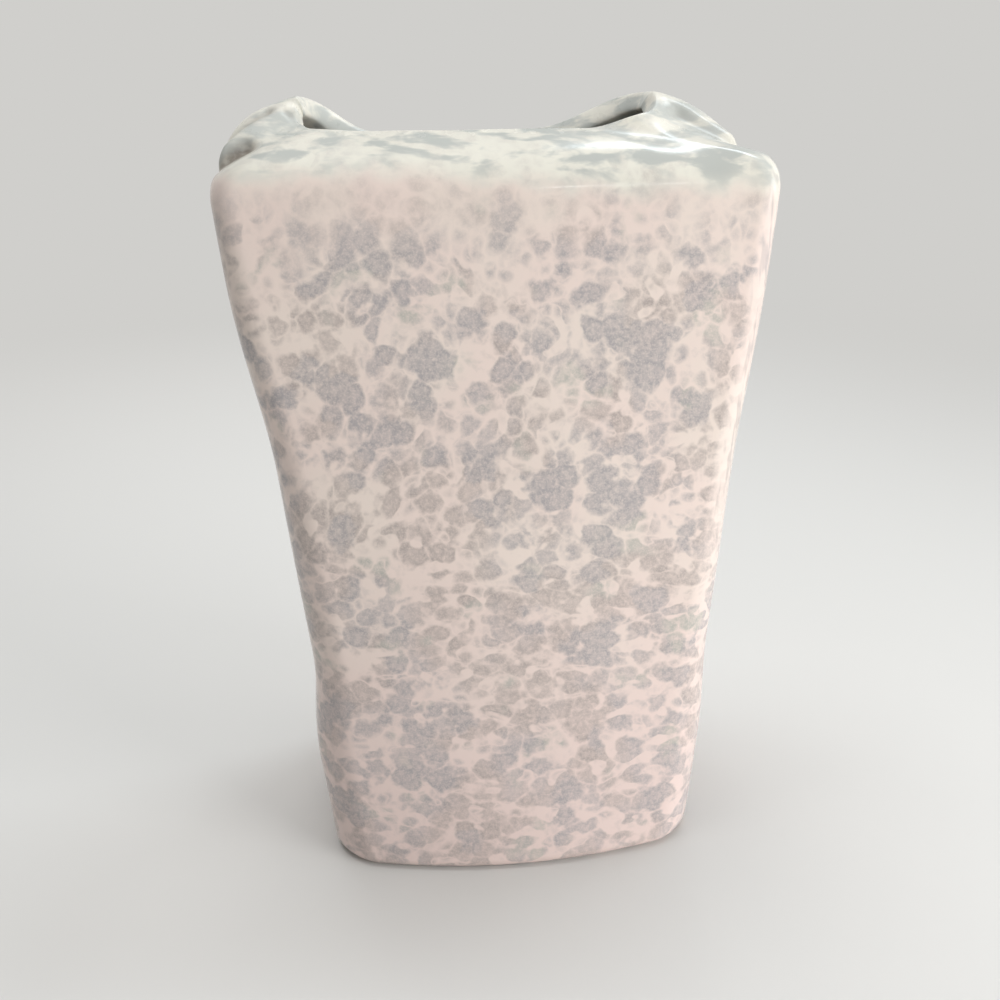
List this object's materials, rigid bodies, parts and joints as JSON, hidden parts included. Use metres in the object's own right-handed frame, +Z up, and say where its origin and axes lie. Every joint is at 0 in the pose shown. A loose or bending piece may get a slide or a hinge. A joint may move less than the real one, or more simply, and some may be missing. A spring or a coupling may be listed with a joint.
{
  "type": "fan vase",
  "caption": "Glazed pottery vase with a deep rounded foot flattening upward into a wide thin top, a sloping shoulder and a slit mouth pinched up at both ends, for cut flowers.",
  "frame": {"origin": "middle of the underside, on the surface the vase stands on", "axes": "+Z up, +X to the right of someone facing the front, so the front faces -Y"},
  "size_m": [0.1045, 0.0646, 0.1526],
  "materials": {
    "sponged_glaze": "glossy pinkish white with sponged grey spots",
    "shoulder_glaze": "glossy cream white with softer grey smears",
    "foot_clay": "bare fired clay, matt"
  },
  "bodies": {
    "root": {"floor_slab": "foot_clay", "front_wall": "sponged_glaze", "right_wall": "sponged_glaze", "back_wall": "sponged_glaze", "left_wall": "sponged_glaze", "front_shoulder": "shoulder_glaze", "right_mouth_fold": "shoulder_glaze", "back_shoulder": "shoulder_glaze", "left_mouth_fold": "shoulder_glaze"}
  },
  "joints": []
}
